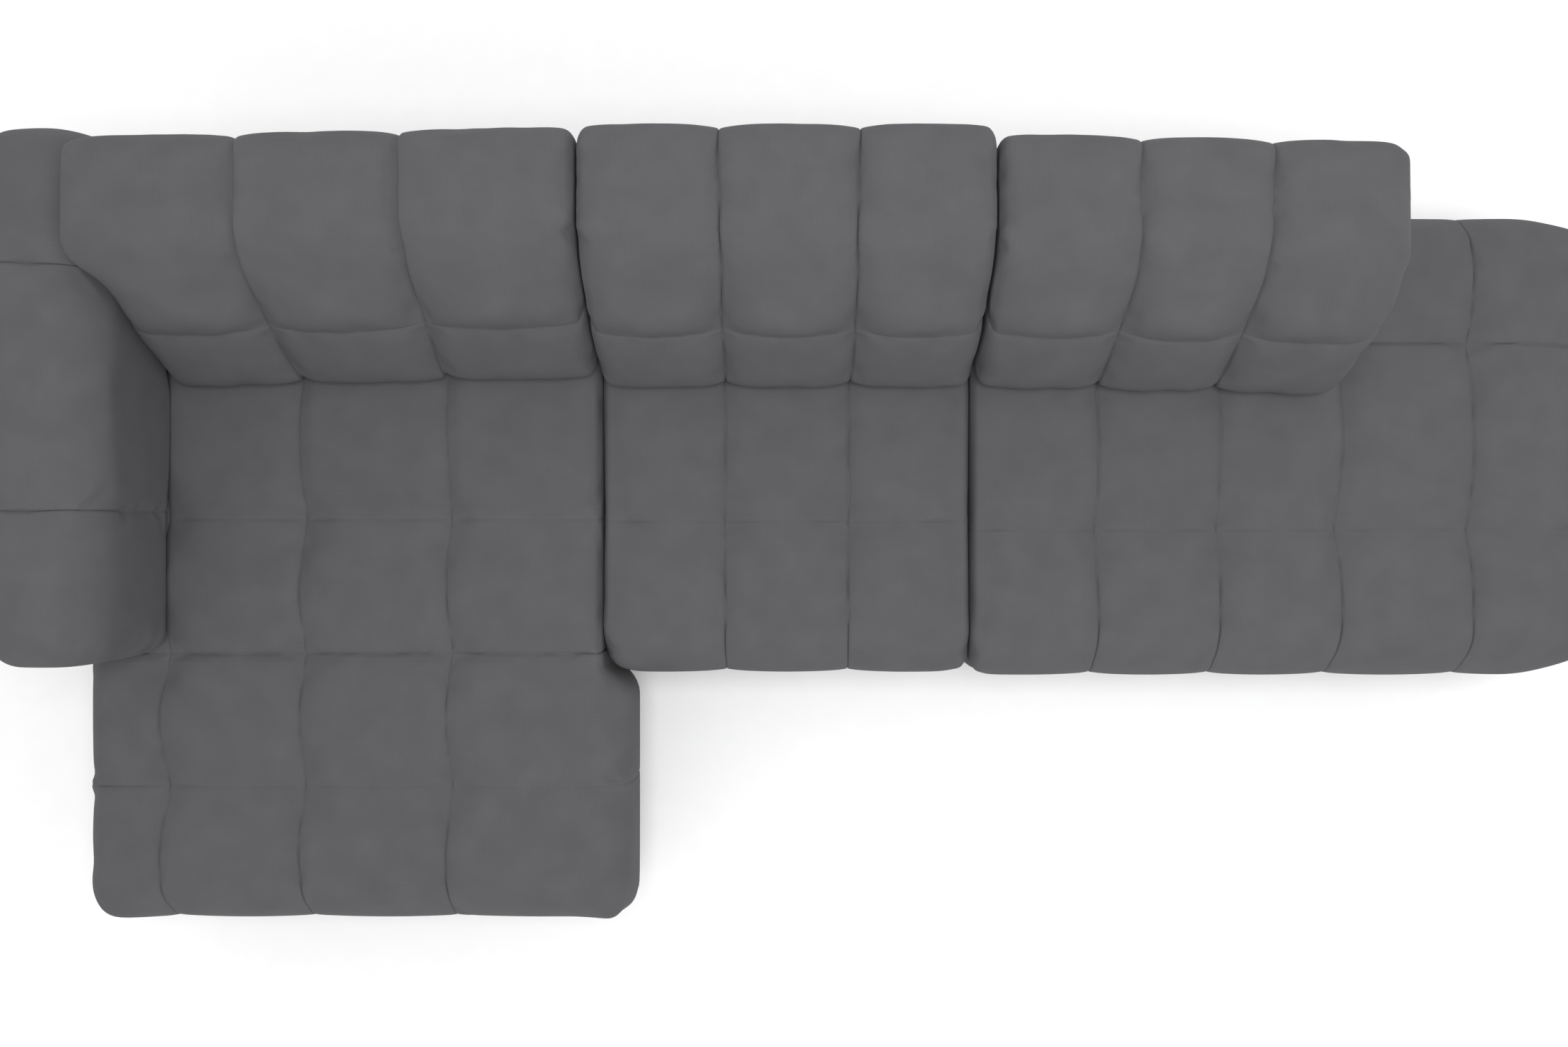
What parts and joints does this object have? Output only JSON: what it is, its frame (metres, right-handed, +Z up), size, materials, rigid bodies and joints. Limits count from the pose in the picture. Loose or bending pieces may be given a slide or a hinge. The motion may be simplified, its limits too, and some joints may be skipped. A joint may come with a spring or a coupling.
{
  "type": "modular lounge sofa with chaise",
  "caption": "Low modular lounge sofa: channel-quilted platforms with a chaise at the left and an open end at the right, one tall arm, and thick wedge backs that glide to the rear.",
  "frame": {"origin": "on the floor, in the middle of the sofa's outline seen from above", "axes": "+X to the sitter's left as the picture shows it (image right), +Y to the rear, +Z up"},
  "size_m": [3.4282, 1.667, 0.8421],
  "materials": {
    "cover_fabric": "matt mid-grey upholstery weave, quilted",
    "seat_foam": "cut polyurethane foam",
    "felt_pad": "needled grey felt",
    "pine_rail": "planed softwood",
    "plywood": "sanded birch plywood",
    "hardboard": "smooth brown hardboard",
    "spring_steel": "oil-blacked spring wire",
    "dust_cloth": "black non-woven cloth",
    "glide_steel": "drawn steel tube, bright",
    "black_steel": "black powder coat",
    "zinc_steel": "bright zinc plate",
    "foot_plastic": "black moulded plastic, fine spark grain"
  },
  "bodies": {
    "sofa_base": {"chaise_frame": "pine_rail", "chaise_springs": "spring_steel", "chaise_deck": "plywood", "chaise_felt": "felt_pad", "chaise_foam": "seat_foam", "chaise_cover": "cover_fabric", "chaise_dust_cover": "dust_cloth", "middle_frame": "pine_rail", "middle_springs": "spring_steel", "middle_deck": "plywood", "middle_felt": "felt_pad", "middle_foam": "seat_foam", "middle_cover": "cover_fabric", "middle_dust_cover": "dust_cloth", "right_frame": "pine_rail", "right_springs": "spring_steel", "right_deck": "plywood", "right_felt": "felt_pad", "right_foam": "seat_foam", "right_cover": "cover_fabric", "right_dust_cover": "dust_cloth", "arm_frame": "pine_rail", "arm_foam": "seat_foam", "arm_cover": "cover_fabric", "arm_posts": "zinc_steel", "arm_sockets": "glide_steel", "corner_blocks": "pine_rail", "spring_clips": "black_steel", "feet": "foot_plastic", "glide_sleeves": "glide_steel", "link_plates": "black_steel", "link_bolts": "zinc_steel"},
    "left_back": {"left_back_frame": "pine_rail", "left_back_panel": "hardboard", "left_back_foam": "seat_foam", "left_back_cover": "cover_fabric", "left_back_glide_tubes": "glide_steel", "left_back_uprights": "black_steel", "left_back_bolts": "zinc_steel"},
    "middle_back": {"middle_back_frame": "pine_rail", "middle_back_panel": "hardboard", "middle_back_foam": "seat_foam", "middle_back_cover": "cover_fabric", "middle_back_glide_tubes": "glide_steel", "middle_back_uprights": "black_steel", "middle_back_bolts": "zinc_steel"},
    "right_back": {"right_back_frame": "pine_rail", "right_back_panel": "hardboard", "right_back_foam": "seat_foam", "right_back_cover": "cover_fabric", "right_back_glide_tubes": "glide_steel", "right_back_uprights": "black_steel", "right_back_bolts": "zinc_steel"}
  },
  "joints": [
    {"name": "left_back_glide", "type": "slide", "parent": "sofa_base", "child": "left_back", "axis": [0, 1, 0], "range_m": [0, 0.18]},
    {"name": "middle_back_glide", "type": "slide", "parent": "sofa_base", "child": "middle_back", "axis": [0, 1, 0], "range_m": [0, 0.18]},
    {"name": "right_back_glide", "type": "slide", "parent": "sofa_base", "child": "right_back", "axis": [0, 1, 0], "range_m": [0, 0.18]}
  ]
}
